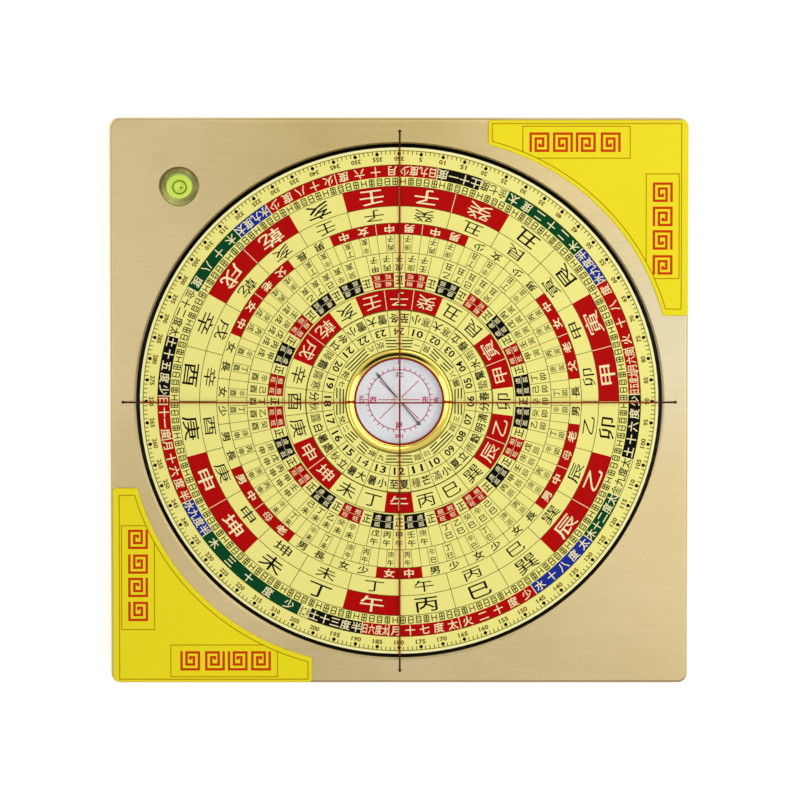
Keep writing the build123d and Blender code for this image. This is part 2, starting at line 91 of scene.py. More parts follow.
# Grain of the materials, in mm
broad_grain = 30  # size of broad changes, in fine grains
streak_waves = (60.0, 4200.0, 4200.0)  # waves per metre along and across the brushing
streak_depth = 0.004
speck_size = 0.6
drift_size = 45.0
drift_tints = ([0.90, 0.88, 0.80, 1.0], [1.02, 1.01, 1.02, 1.0])
lathe_grain = 0.4
groove_depth = 0.0015
strand_lean = 1.6
strand_length = 0.55
strand_depth = 0.06
hair_size = 0.12
haze_size = 6.0
thread_unshaded_reach = (80.4, 81.2)  # painted shade: the threads darken outside this, over the gap and the frame
thread_clear = 0.5  # share of light that passes through a thread

# Painted light and shade in the metal of the frame, as large patches: middle and edges in mm, and
# tint. It is darker in the north and low in the west, and paler and bluer in the east.
no_tint = [1.0, 1.0, 1.0, 1.0]
frame_painted_light = [
    ((-10, 92), (20, 62), [0.83, 0.82, 0.68, 1.0]),
    ((-90, -35), (8, 35), [0.87, 0.86, 0.80, 1.0]),
    ((90, 25), (5, 55), [1.0, 1.1, 1.38, 1.0]),
]

# Ink
cell_lift = 0.012 * MM  # coloured cells lie this far above the face
sign_lift = 0.026 * MM  # lines and signs lie above the cells
arc_step = 1.5  # degrees in one piece of an arc
dot_sides = 16
glyph_resolution = 2
glyph_middle = (0.5, 0.38)  # middle of a sign in the type's own square
glyph_square = (0.9, 0.92)
fill_tolerance = 0.03  # how far a sign's area may be from the expected one

# Widths of lines, in mm
line_width = 0.18
scale_line = 0.2
tick_line = 0.25
mansion_line = 0.28
split_line = 0.2  # between two red cells
column_line = 0.14
branch_line = 0.15
luck_line = 0.16
luck_split = 0.12
# The innermost circle is also painted shade round the foot of the bezel
innermost_line_and_shade = 0.26

# Rings of the dial, by radius in mm
# Painted highlight: a pale band printed round the dial's edge, where its edge catches the light
rim_highlight_band = (80.15, 80.68)
scale_circle = 79.72
scale_tick = 1.2
scale_dots = 78.75
scale_dot_radius = 0.56
scale_numbers = 77.15
mansion_rim = (71.45, 75.25)
mark_ring = (68.5, 71.45)
mountain_rim = (62.15, 68.5)
shifted_rim = (56.8, 62.15)
family_rim = (53.25, 56.8)
column_rim = (47.4, 53.25)
branch_rim = (41.0, 47.4)
luck_rim = (36.3, 41.0)
inner_rim = (29.2, 35.75)
term_rim = (24.0, 29.0)
number_rim = (20.5, 24.0)
trigram_rim = (16.7, 20.5)

# Signs of each ring: width and height in mm, and how far their outline moves out
scale_digit = (1.02, 1.46, 0.03)
mansion_sign = (3.0, 3.0, 0.012)
mountain_sign = (7.4, 4.9, 0.006)
shifted_sign = (6.1, 3.8, 0.0)
family_sign = (3.2, 2.5, 0.02)
column_sign = (1.9, 2.0, 0.016)
branch_sign = (2.4, 2.1, 0.016)
upright_sign = (2.5, 2.9, 0.014)
luck_sign = (1.75, 1.5, 0.006)
inner_sign = (5.6, 4.5, 0.0)
term_sign = (2.7, 3.0, 0.016)
ring_number = (3.4, 2.35, 0.02)
trigram_name = (2.3, 2.1, 0.01)
trigram_count = (1.9, 1.8, 0.014)

# Where the signs stand in their cells: in degrees, or as shares of the ring from its inner edge
cell_turn = 15  # the dial has 24 cells
half_cell = cell_turn / 2
mansion_start = 344.4
mansion_fill = 0.86  # a sign's width as a share of its room along the ring
family_spread = 3.2
column_turn = 3.0
column_shares = (0.74, 0.28)
branch_turn = 5
branch_shares = (0.7, 0.26)
luck_half = 2.5  # half of a small cell
luck_shares = (0.75, 0.26)
term_spread = 3.5
trigram_turn = 45
trigram_name_turn = -18
trigram_count_turn = 17.5
trigram_lift = 0.1  # of the two signs, in mm outside the ring's middle
trigram_bars = (17.5, 18.5, 19.5)  # radii of the bars, in mm
trigram_bar_half = 13  # half of a bar's length
trigram_gap_half = 2.6  # half of the gap in a broken bar
trigram_bar_sag = 6  # the bars are straight, so they sit inside their arc
trigram_pen = 0.38

# Ring of small boxed marks, in mm
mark_turn = 2  # in degrees
mark_wide = 0.72
mark_tall = 1.02
mark_pen = 0.3
mark_kinds = 5
mark_kind_step = 7
mark_bar_reach = 0.504  # half length of the two inner bars, and how high they stand
mark_inner_bar = 0.408

# Card in the needle capsule: radii and widths in mm
card_circle = 9.6
card_tick = 0.95
card_tick_turn = 10  # in degrees
card_line = 0.28
card_spokes = [  # bearings, inner and outer radius, width
    ((45, 135, 225, 315), 1.2, 8.6, 0.28),
    ((90, 270), 1.2, 6.6, 0.26),
    ((90, 270), 10.55, 11.4, 0.26),
    ((0, 180), 1.2, 6.9, 0.26),
]
card_names = 8.1
card_name = (2.1, 2.1, 0.03)
card_north_name = (2.4, 1.8, 0.02)
card_numbers = [  # text, bearing, turn, radius, width, height and boldness
    ("0", 0, 0, 11.9, 0.9, 1.4, 0.02),
    ("90", 90, -90, 11.6, 1.8, 1.4, 0.035),
    ("180", 180, 180, 11.6, 2.5, 1.4, 0.035),
    ("270", 270, 90, 11.7, 2.7, 1.4, 0.035),
]

# Print on the yellow plates, in mm from a middle that both plates share
plate_middle = (0.2, 0.0)
plate_line = 0.32
plate_arc_middle = 8.25
plate_arc_radius = 77.45
plate_frame = (28.7, 87.5, 29.7, 88.6)  # left, right, low, high
tall_box = (76.54, 86.8, 39.41, 72.65)
wide_box = (38.18, 71.52, 77.63, 87.77)
fret_side = 6.2
fret_pens = 8  # pen widths in a side of a fret
wide_box_frets = (43.35, 50.64, 57.74, 65.46)
tall_box_frets = (43.77, 51.69, 59.16, 66.84)

# The bezel's own section: radius in mm, and how far below its top
bezel_skirt = (15.65, 16.25)
gasket_rise = 0.15  # top of the gasket above the dial's face
bezel_curve = ((16.5, 0.5), (16.5, 0.32), (16.45, 0.18), (16.34, 0.07), (16.18, 0.015), (16.0, 0.0),
               (15.8, 0.006), (15.6, 0.021), (15.4, 0.045), (15.2, 0.079), (15.0, 0.122),
               (14.8, 0.174), (14.66, 0.216), (14.6, 0.236), (14.54, 0.236), (14.46, 0.218),
               (14.34, 0.206), (14.22, 0.21), (14.14, 0.226), (14.1, 0.25))
bezel_sides = 240
bezel_crease = 40  # sharper edges than this are shown sharp, in degrees

# Round level, in mm: its print, and where the tints of liquid, wall and rim begin and are full. The
# tints at the liquid's edge and at the rim are painted shade, darker towards the north.
level_ring_middle = (-68.21, 68.2)
level_ring_radius = 2.07
level_ring_line = 0.42
level_dot_middle = (-67.75, 68.07)
level_dot_radius = 0.38
level_liquid_middle = (-68.25, 67.85)
level_liquid_shade_edge = (3.7, 4.3)
level_wall_edge = (4.1, 4.5)
level_shade_middle = (-68.15, 67.95)
level_shade_edge = (5.35, 6.1)

# Signs of the rings, clockwise from the north
mountains = "子癸丑艮寅甲卯乙辰巽巳丙午丁未坤申庚酉辛戌乾亥壬"
red_mountains = "子癸寅甲乙辰午坤申戌乾壬"
branches = "子丑寅卯辰巳午未申酉戌亥"
bright_branches = "子寅辰午申戌"
stems = "甲乙丙丁戊己庚辛壬癸"
families = ("中男 中男 少女 少男 中女 老父 長男 老母 中男 長女 少女 少男 "
            "中女 少女 長男 老母 中男 長男 少女 長女 中女 老父 長男 中女").split()
solar_terms = ("冬至 小寒 大寒 立春 雨水 驚蟄 春分 清明 穀雨 立夏 小滿 芒種 "
               "夏至 小暑 大暑 立秋 處暑 白露 秋分 寒露 霜降 立冬 小雪 大雪").split()
element_degrees = ("月十六度 日九度少 土十一度 金七度 木二十二度太 水九度半 火十八度 月六度 日五度太 "
                   "土十六度少 金九度太 木十二度太 水十八度太 火二十度少 月十七度太 日六度太 "
                   "土十三度半 金二半 木三十度少 水九度半 月十六度半 日十一度 土十五度少 "
                   "金十二度太 木十八度 水九度太 火十八度少").split()
digit_values = {sign: value for value, sign in enumerate("〇一二三四五六七八九")}
part_values = {"少": 0.25, "半": 0.5, "太": 0.75}
element_inks = {"月": "red", "日": "red", "火": "red", "土": "black", "金": None,
                "木": "green", "水": "blue"}
# Pairs of red and of black cells, and the signs in them
luck_pattern = "RBRBRBBRBRRBBRBRBRRBRBBR"
luck_signs = {"R": "旺相", "B": "孤虛"}
# Name, bars from the inside out with 1 for a whole one, and number
trigrams = "坎010一 艮001八 震100三 巽011四 離101九 坤000二 兌110七 乾111六".split()

# Sockets of a Mix node for colours
mix_share, mix_first, mix_second, mix_result = 0, 6, 7, 2


def linear(*values):
    """Linear colour from red, green and blue of 0 to 255."""
    shares = [value / 255 for value in values]
    return [v / 12.92 if v < 0.04045 else ((v + 0.055) / 1.055) ** 2.4 for v in shares] + [1.0]


def shade(colour, factor):
    return [min(1.0, value * factor) for value in colour[:3]] + [1.0]


class Nodes:
    """Short ways to add nodes to an empty tree and to join them."""

    def __init__(self, tree):
        self.tree = tree
        tree.nodes.clear()

    def add(self, kind):
        return self.tree.nodes.new(kind)

    def join(self, source, target):
        self.tree.links.new(source, target)

    def feed(self, socket, value):
        """Join another socket to this one, or give it a value of its own."""
        if isinstance(value, bpy.types.NodeSocket):
            self.join(value, socket)
        else:
            socket.default_value = value

    def set(self, node, values):
        for name, value in values.items():
            node.inputs[name].default_value = value

    def math(self, operation, first, second=0.0):
        node = self.add("ShaderNodeMath")
        node.operation = operation
        self.feed(node.inputs[0], first)
        self.feed(node.inputs[1], second)
        return node.outputs[0]

    def times(self, first, second):
        return self.math("MULTIPLY", first, second)

    def plus(self, first, second):
        return self.math("ADD", first, second)

    def largest(self, first, *others):
        for other in others:
            first = self.math("MAXIMUM", first, other)
        return first

    def mixed(self, first, second, share):
        """A share of the first value and the rest of the second."""
        return self.plus(self.times(first, share), self.times(second, 1 - share))

    def range(self, value, low, high, from_low=0.3, from_high=0.7, kind="LINEAR"):
        """A value moved to another range. Most of a noise lies between 0.3 and 0.7."""
        node = self.add("ShaderNodeMapRange")
        node.interpolation_type = kind
        self.set(node, {"From Min": from_low, "From Max": from_high, "To Min": low, "To Max": high})
        self.join(value, node.inputs["Value"])
        return node.outputs["Result"]

    def apart(self, vector):
        """The X, Y and Z of a vector."""
        node = self.add("ShaderNodeSeparateXYZ")
        self.join(vector, node.inputs[0])
        return node.outputs[0], node.outputs[1], node.outputs[2]


class Finish(Nodes):
    """A node material round one Principled shader."""

    def __init__(self, name, metal=0.0, specular=0.5, ior=1.5, transmission=0.0):
        self.material = bpy.data.materials.new(name)
        self.material.use_nodes = True
        super().__init__(self.material.node_tree)
        self.shader = self.add("ShaderNodeBsdfPrincipled")
        self.output = self.add("ShaderNodeOutputMaterial")
        self.surface(self.shader.outputs["BSDF"])
        self.set(self.shader, {"Metallic": metal, "Specular IOR Level": specular, "IOR": ior,
                               "Transmission Weight": transmission})
        self.place = self.add("ShaderNodeTexCoord").outputs["Object"]

    def surface(self, shader):
        self.join(shader, self.output.inputs["Surface"])

    def stretched(self, scale):
        """Object coordinates times a scale for each axis, in waves per metre."""
        node = self.add("ShaderNodeMapping")
        node.inputs["Scale"].default_value = scale
        self.join(self.place, node.inputs["Vector"])
        return node.outputs["Vector"]

    def noise(self, place, detail, roughness):
        node = self.add("ShaderNodeTexNoise")
        self.set(node, {"Scale": 1.0, "Detail": detail, "Roughness": roughness})
        self.join(place, node.inputs["Vector"])
        return node.outputs["Fac"]

    def grain(self, size, detail=3.0):
        """Even noise with grains of this size in mm."""
        waves = 1 / (size * MM)
        return self.noise(self.stretched((waves, waves, waves)), detail, 0.5)

    def waves(self, value, length):
        """A sine of a value in metres, with waves of this length in mm."""
        return self.math("SINE", self.times(value, 2 * pi / (length * MM)))

    def distance(self, middle=(0, 0)):
        """Distance from an upright line through a place in mm."""
        squares = [self.math("POWER", self.math("SUBTRACT", along, centre * MM), 2.0)
                   for along, centre in zip(self.apart(self.place), middle)]
        return self.math("SQRT", self.plus(*squares))

    def distance_share(self, middle, edges):
        """A share that rises from 0 to 1 between two distances from an upright line, in mm."""
        return self.range(self.distance(middle), 0.0, 1.0, *(edge * MM for edge in edges))

    def blend(self, share, first, second, kind="MIX"):
        """Mix of two colours by a share, each a colour or a socket."""
        node = self.add("ShaderNodeMix")
        node.data_type = "RGBA"
        node.blend_type = kind
        for index, value in ((mix_share, share), (mix_first, first), (mix_second, second)):
            self.feed(node.inputs[index], value)
        return node.outputs[mix_result]

    def tones(self, share, colour, change):
        """A colour that wanders between a darker and a lighter tone of itself."""
        return self.blend(share, shade(colour, 1 - change), shade(colour, 1 + change))

    def made(self, colour, roughness, height=None, depth=0.0):
        """The material with its colour, roughness and a bump whose full height is depth, in mm."""
        self.join(colour, self.shader.inputs["Base Color"])
        self.join(roughness, self.shader.inputs["Roughness"])
        if height:
            node = self.add("ShaderNodeBump")
            self.set(node, {"Strength": 1.0, "Distance": depth * MM})
            self.join(height, node.inputs["Height"])
            self.join(node.outputs["Normal"], self.shader.inputs["Normal"])
        return self.material

    def see_through(self, share, tint):
        """Let a share of the light pass straight through, in this tint."""
        straight = self.add("ShaderNodeBsdfTransparent")
        straight.inputs["Color"].default_value = tint
        either = self.add("ShaderNodeMixShader")
        self.join(share, either.inputs[0])
        self.join(self.shader.outputs["BSDF"], either.inputs[1])
        self.join(straight.outputs[0], either.inputs[2])
        self.surface(either.outputs[0])

    def pass_light(self, tint):
        """Let lamps and daylight pass straight through to what lies under a clear piece."""
        rays = self.add("ShaderNodeLightPath").outputs
        self.see_through(self.largest(rays["Is Shadow Ray"], rays["Is Diffuse Ray"]), tint)


def plain_finish(name, colour, change, size, roughness, depth, **shader):
    """Colour and roughness wander with a fine grain, which also gives a slight relief."""
    finish = Finish(name, **shader)
    grain = finish.grain(size)
    broad = finish.grain(size * broad_grain)
    share = finish.range(finish.mixed(grain, broad, 0.6), 0.0, 1.0)
    tone = finish.tones(share, colour, change)
    return finish.made(tone, finish.range(broad, *roughness), grain, depth)


def brushed_finish(name, colour, change, roughness, painted_light_patches=()):
    """Metal with fine streaks along X, small specks, slow drifts of tone and a few large patches of
    painted light and shade.
    """
    finish = Finish(name, metal=1.0)
    streaks = finish.noise(finish.stretched(streak_waves), 4.0, 0.6)
    specks = finish.grain(speck_size)
    broad = finish.grain(drift_size, 4.0)
    fine = finish.mixed(streaks, specks, 0.6)
    tone = finish.tones(finish.range(fine, 0.0, 1.0), colour, change)
    drift = finish.blend(finish.range(broad, 0.0, 1.0), *drift_tints)
    tone = finish.blend(1.0, tone, drift, "MULTIPLY")
    # Painted light and shade: each patch tints the metal lighter or darker.
    for middle, edges, tint in painted_light_patches:
        cloud = finish.blend(finish.distance_share(middle, edges), tint, no_tint)
        tone = finish.blend(1.0, tone, cloud, "MULTIPLY")
    return finish.made(tone, finish.range(fine, *roughness), fine, streak_depth)


def turned_finish(name, colour, change, roughness, groove):
    """Metal turned on a lathe about the middle of the compass: fine rings in a slight grain."""
    finish = Finish(name, metal=1.0)
    waves = finish.waves(finish.distance(), groove)
    rings = finish.plus(finish.times(waves, 0.25), 0.5)
    mixed = finish.mixed(rings, finish.grain(lathe_grain), 0.5)
    tone = finish.tones(finish.range(mixed, 0.0, 1.0), colour, change)
    return finish.made(tone, finish.range(mixed, *roughness), rings, groove_depth)


def thread_finish(name, across):
    """Twisted nylon that lets some light through, on a thread along X or along Y. Its ends are
    painted shade: dark and opaque over the gap and the frame.
    """
    finish = Finish(name, specular=0.15)
    along_x, along_y, _ = finish.apart(finish.place)
    run, side = (along_y, along_x) if across else (along_x, along_y)
    turns = finish.waves(finish.plus(run, finish.times(side, strand_lean)), strand_length)
    strands = finish.plus(finish.times(turns, 0.5), 0.5)
    hairs = finish.grain(hair_size, 2.0)
    mixed = finish.mixed(strands, hairs, 0.7)
    dyed = finish.blend(mixed, shade(thread_colour, 0.6), shade(thread_colour, 1.2))
    # Painted shade: towards its ends the thread turns dark and stops letting light through.
    edges = [edge * MM for edge in thread_unshaded_reach]
    ends = finish.range(finish.math("ABSOLUTE", run), 0.0, 1.0, *edges)
    middle = finish.math("SUBTRACT", 1.0, ends)
    finish.see_through(finish.times(middle, thread_clear), thread_tint)
    tone = finish.blend(ends, dyed, thread_shade_colour)
    return finish.made(tone, finish.range(hairs, 0.55, 0.75), mixed, strand_depth)


def level_finish(name, bright, dim):
    """Cloudy fluorescent liquid with a faint glow of painted light, brightest away from the wall of
    its chamber, where painted shade darkens it.
    """
    finish = Finish(name, specular=0.3)
    # Painted light: the liquid glows faintly in its own colour.
    finish.set(finish.shader, {"Emission Color": bright, "Emission Strength": 0.2})
    cloud = finish.grain(1.2)
    # Painted shade: darker near the wall of the chamber, more on the north side.
    share = finish.distance_share(level_liquid_middle, level_liquid_shade_edge)
    tone = finish.blend(share, finish.blend(cloud, shade(bright, 0.88), bright), dim)
    return finish.made(tone, finish.range(cloud, 0.08, 0.16), cloud, 0.02)


def vial_finish(name, lens, wall, rim_painted_shade):
    """Clear over the chamber, greener in the thick wall, and darkened with painted shade where the
    wall meets its hole.
    """
    finish = Finish(name, transmission=1.0, ior=1.2)
    haze = finish.grain(haze_size, 2.0)
    inside = finish.distance_share(level_liquid_middle, level_wall_edge)
    # Painted shade round the rim of the vial, which lies in the shade of its hole.
    outside = finish.distance_share(level_shade_middle, level_shade_edge)
    walled = finish.blend(inside, lens, finish.tones(haze, wall, 0.1))
    finish.pass_light(linear(246, 250, 240))
    return finish.made(finish.blend(outside, walled, rim_painted_shade), finish.range(haze, 0.0, 0.04))


def clear_finish(name, colour, roughness, ior, shadow_tint):
    """Clear solid with a faint haze."""
    finish = Finish(name, transmission=1.0, ior=ior)
    haze = finish.grain(haze_size, 2.0)
    finish.pass_light(shadow_tint)
    tone = finish.blend(haze, shade(colour, 0.97), colour)
    return finish.made(tone, finish.range(haze, 0.0, roughness))


gold_colour = linear(200, 182, 138)
thread_colour = linear(170, 56, 30)
thread_tint = [0.72, 0.34, 0.2, 1.0]
# Painted shade of the threads' ends
thread_shade_colour = linear(58, 18, 5)

# Plain finishes take colour, how much it wanders, grain in mm, range of roughness, relief in mm.
# Turned ones take colour, how much it wanders, range of roughness, width of a groove in mm.
finishes = {
    "base_frame": brushed_finish("gold_frame", gold_colour, 0.09, (0.34, 0.46), frame_painted_light),
    "base_cover": brushed_finish("gold_cover", gold_colour, 0.1, (0.38, 0.5)),
    # Partly painted shade: black, so that its edge in the gap round the dial shows as dark as the
    # shade there.
    "dial_plate": plain_finish(
        "black_enamel", linear(25, 19, 15), 0.2, 0.6, (0.35, 0.45), 0.004, specular=0.2),
    "cover_screws": plain_finish(
        "zinc_steel", linear(178, 180, 182), 0.12, 0.3, (0.25, 0.4), 0.01, metal=1.0),
    "retaining_clip": plain_finish(
        "spring_steel", linear(120, 120, 124), 0.15, 0.3, (0.3, 0.45), 0.01, metal=1.0),
    "pivot_pin": plain_finish(
        "pin_steel", linear(190, 190, 195), 0.08, 0.2, (0.15, 0.25), 0.003, metal=1.0),
    "feet": plain_finish(
        "rubber_feet", linear(34, 34, 35), 0.3, 0.35, (0.7, 0.85), 0.03, specular=0.3),
    "corner_plates": plain_finish(
        "yellow_enamel", linear(240, 224, 4), 0.03, 0.8, (0.3, 0.38), 0.01, specular=0.2),
    # In the vial and in the liquid below, the last tint is painted shade.
    "level_vial": vial_finish(
        "clear_acrylic", linear(236, 246, 226), linear(218, 228, 200), linear(160, 146, 106)),
    "level_liquid": level_finish("level_fluid", linear(231, 243, 106), linear(150, 178, 112)),
    "level_plug": plain_finish("level_seal", linear(208, 236, 84), 0.05, 0.7, (0.4, 0.5), 0.01),
    "brass": turned_finish("turned_brass", linear(222, 190, 110), 0.08, (0.2, 0.32), 0.25),
    "black_nylon": plain_finish("black_nylon", linear(28, 28, 29), 0.25, 0.4, (0.4, 0.55), 0.01),
    "thread_east_west": thread_finish("thread_along_x", False),
    "thread_north_south": thread_finish("thread_along_y", True),
    "dial_face": plain_finish(
        "dial_paper", linear(244, 236, 134), 0.02, 0.5, (0.32, 0.4), 0.004, specular=0.25),
    "compass_card": plain_finish(
        "card_paper", linear(246, 243, 249), 0.03, 0.4, (0.6, 0.7), 0.01, specular=0.3),
    "spacer_ring": plain_finish("white_nylon", linear(232, 230, 234), 0.03, 0.4, (0.5, 0.6), 0.006),
    "capsule_glass": clear_finish(
        "clear_glass", linear(252, 254, 253), 0.01, 1.45, linear(250, 252, 251)),
    "glass_gasket": plain_finish(
        "red_fibre", linear(140, 14, 4), 0.25, 0.3, (0.5, 0.65), 0.01, specular=0.2),
    "bezel": turned_finish("polished_gold", linear(240, 216, 100), 0.04, (0.05, 0.09), 0.5),
    "needle": plain_finish(
        "black_steel", linear(10, 10, 11), 0.3, 0.2, (0.35, 0.5), 0.004, specular=0.2),
    "needle_cap": turned_finish("cap_brass", linear(255, 250, 212), 0.04, (0.2, 0.3), 0.2),
}
shared_finishes = {
    "corner_plate_ne": "corner_plates", "corner_plate_sw": "corner_plates", "dial_bush": "brass",
    "dial_spindle": "brass", "thread_ferrules": "brass", "capsule_cup": "brass",
    "glide_ring": "black_nylon", "thrust_washer": "black_nylon",
}
for node_name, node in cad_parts.items():
    chosen = finishes[shared_finishes.get(node_name, node_name)]
    for material_slot in node.material_slots:
        material_slot.material = chosen

ink_colours = {  # 0 to 255
    "red": (180, 3, 1), "black": (8, 7, 4), "olive": (76, 74, 12),
    # The rim ink is a painted highlight round the dial's edge.
    "green": (0, 68, 32), "blue": (26, 46, 150), "rim": (252, 246, 190),
    "pale": (250, 238, 180), "brown": (104, 84, 16), "crimson": (204, 34, 96),
    "violet": (150, 70, 110), "ochre": (186, 142, 0), "fret": (206, 60, 4),
    "level_line": (104, 124, 4), "ink_dark": (40, 44, 8),
}
inks = {
    ink: plain_finish(f"ink_{ink}", linear(*value), 0.06, 0.35, (0.37, 0.47), 0.002, specular=0.05)
    for ink, value in ink_colours.items()
}


class Print:
    """Flat printed shapes of one ink on one face, gathered into one mesh."""

    def __init__(self, name, ink, z, body, slot):
        self.name, self.ink, self.z, self.body, self.slot = name, ink, z, body, slot
        self.points = []
        self.faces = []

    def shape(self, points, faces):
        start = len(self.points)
        self.points += points
        self.faces += [[start + index for index in face] for face in faces]

    def build(self):
        corners = [(x * MM, y * MM, self.z) for x, y in self.points]
        piece = new_piece(self.name, corners, self.faces, inks[self.ink])
        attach(piece, self.body)


def new_piece(name, points, faces, material):
    mesh = bpy.data.meshes.new(name)
    mesh.from_pydata(points, [], faces)
    mesh.materials.append(material)
    piece = bpy.data.objects.new(name, mesh)
    scene.collection.objects.link(piece)
    return piece


def at(radius, bearing):
    """Point at a bearing in degrees, clockwise from +Y as seen from above."""
    angle = radians(bearing)
    return radius * sin(angle), radius * cos(angle)


def placed(points, place):
    """Points moved to a place, which is an origin, a direction to the right and one upward."""
    origin, right, up = place
    return [(origin[0] + x * right[0] + y * up[0], origin[1] + x * right[1] + y * up[1])
            for x, y in points]


def upright(x, y, turn=0):
    """Place of a sign that stands the same way wherever it is."""
    angle = radians(turn)
    return (x, y), (cos(angle), sin(angle)), (-sin(angle), cos(angle))


dial_middle = upright(0, 0)


def frame_at(radius, bearing):
    """Origin, right and up for signs whose tops point to the middle of the dial."""
    angle = radians(bearing)
    return at(radius, bearing), (-cos(angle), sin(angle)), (-sin(angle), -cos(angle))


def sector(sheet, low, high, start, end, place=dial_middle):
    """Part of a ring between two bearings."""
    count = max(1, round((end - start) / arc_step))
    stops = [start + (end - start) * index / count for index in range(count + 1)]
    points = [at(radius, bearing) for bearing in stops for radius in (low, high)]
    faces = [(2 * i, 2 * i + 1, 2 * i + 3, 2 * i + 2) for i in range(count)]
    sheet.shape(placed(points, place), faces)


def circle_line(sheet, radius, width=line_width, place=dial_middle):
    sector(sheet, radius - width / 2, radius + width / 2, 0, 360, place)


def rectangle(sheet, place, left, right, low, high):
    corners = [(left, low), (right, low), (right, high), (left, high)]
    sheet.shape(placed(corners, place), [(0, 1, 2, 3)])


def bar(sheet, place, reach, pen, y=0.0):
    """A line across a place, as far to the left as to the right."""
    rectangle(sheet, place, -reach, reach, y - pen / 2, y + pen / 2)


def post(sheet, place, reach, pen, x=0.0):
    """A line up and down, as far below a place as above it."""
    rectangle(sheet, place, x - pen / 2, x + pen / 2, -reach, reach)


def radial_line(sheet, low, high, bearing, width=line_width):
    post(sheet, frame_at((low + high) / 2, bearing), (high - low) / 2, width)


def dot(sheet, place, radius):
    points = [at(radius, 90 - 360 * index / dot_sides) for index in range(dot_sides)]
    sheet.shape(placed(points, place), [tuple(range(dot_sides))])


glyph_store = {}


def typed_mesh(text, boldness):
    """Points and faces of a text at size 1, with its filled area and the length of its outline."""
    curve = bpy.data.curves.new("sign", "FONT")
    curve.body = text
    curve.resolution_u = glyph_resolution
    curve.offset = boldness
    holder = bpy.data.objects.new("sign", curve)
    mesh = bpy.data.meshes.new_from_object(holder)
    points = [(vertex.co.x, vertex.co.y) for vertex in mesh.vertices]
    faces = [list(face.vertices)[::1 if face.normal.z > 0 else -1] for face in mesh.polygons]
    area = sum(face.area for face in mesh.polygons)
    uses = Counter(edge for face in mesh.polygons for edge in face.edge_keys)
    outline = sum(dist(points[a], points[b]) for (a, b), count in uses.items() if count == 1)
    bpy.data.objects.remove(holder)
    bpy.data.meshes.remove(mesh)
    bpy.data.curves.remove(curve)
    return (points, faces), area, outline


def glyph_mesh(text, boldness):
    """Points and faces of a text. One whose fill would break when it is made bold stays plain."""
    key = (text, boldness)
    if key not in glyph_store:
        glyph, area, outline = typed_mesh(text, 0.0)
        if boldness:
            bold, bold_area, _ = typed_mesh(text, boldness)
            if abs(bold_area / (area + outline * boldness) - 1) < fill_tolerance:
                glyph = bold
        glyph_store[key] = glyph
    return glyph_store[key]


def typed(sheet, glyph, place, middle, wide, tall):
    """A text scaled round its middle."""
    points, faces = glyph
    moved = [((x - middle[0]) * wide, (y - middle[1]) * tall) for x, y in points]
    sheet.shape(placed(moved, place), faces)


def sign(sheet, text, place, width, height, boldness):
    """One sign, scaled by the type's square, so that a thin one stays thin."""
    typed(sheet, glyph_mesh(text, boldness), place, glyph_middle, width / glyph_square[0],
          height / glyph_square[1])


def number(sheet, text, place, width, height, boldness):
    """A number, scaled to fill its width and height."""
    glyph = glyph_mesh(text, boldness)
    xs, ys = zip(*glyph[0])
    left, right, low, high = min(xs), max(xs), min(ys), max(ys)
    middle = (left + right) / 2, (low + high) / 2
    typed(sheet, glyph, place, middle, width / (right - left), height / (high - low))


def stacked(sheet, texts, shares, rim, bearing, size):
    """Signs one above another in a cell, each at its share of the way from the inner edge."""
    low, high = rim
    for text, share in zip(texts, shares):
        sign(sheet, text, frame_at(low + share * (high - low), bearing), *size)


def dial_sheets():
    """One print for each ink: coloured cells below, lines and signs above them."""
    cells = {ink: Print(f"dial_cells_{ink}", ink, face_top + cell_lift, "dial", "dial_print")
             for ink in ("red", "black", "green", "blue", "rim")}
    signs = {ink: Print(f"dial_signs_{ink}", ink, face_top + sign_lift, "dial", "dial_print")
             for ink in ("black", "olive", "pale", "brown", "ink_dark")}
    return cells, signs


def degree_scale(cells, signs):
    digit_width, height, boldness = scale_digit
    # Painted highlight round the dial's edge
    sector(cells["rim"], *rim_highlight_band, 0, 360)
    circle_line(signs["olive"], scale_circle, scale_line)
    for degree in range(360):
        radial_line(signs["brown"], scale_circle - scale_tick, scale_circle, degree, tick_line)
    for degree in range(5, 365, 5):
        text = str(degree)
        dot(signs["black"], frame_at(scale_dots, degree), scale_dot_radius)
        place = frame_at(scale_numbers, degree)
        number(signs["brown"], text, place, len(text) * digit_width, height, boldness)


def degree_count(phrase):
    """Value of a phrase such as twenty-two and three quarters degrees, written in signs."""
    whole = digit = part = 0
    for symbol in phrase[1:]:
        if symbol == "十":
            whole += 10 * max(1, digit)
            digit = 0
        digit = digit_values.get(symbol, digit)
        part = part_values.get(symbol, part)
    return whole + digit + part


def element_ring(cells, signs):
    """Coloured arcs as long as the number of degrees that is written on them."""
    low, high = mansion_rim
    widest, height, boldness = mansion_sign
    counts = [degree_count(phrase) for phrase in element_degrees]
    start = mansion_start
    for phrase, count in zip(element_degrees, counts):
        end = start + count * 360 / sum(counts)
        ink = element_inks[phrase[0]]
        if ink:
            sector(cells[ink], low, high, start, end)
        radial_line(signs["pale"], low, high, start, mansion_line)
        step = (end - start) / len(phrase)
        width = min(widest, step * high * pi / 180 * mansion_fill)
        writing = signs["pale" if ink else "ink_dark"]
        for index, symbol in enumerate(phrase):
            bearing = end - (index + 0.5) * step
            sign(writing, symbol, frame_at((low + high) / 2, bearing), width, height, boldness)
        start = end
    circle_line(signs["olive"], high)


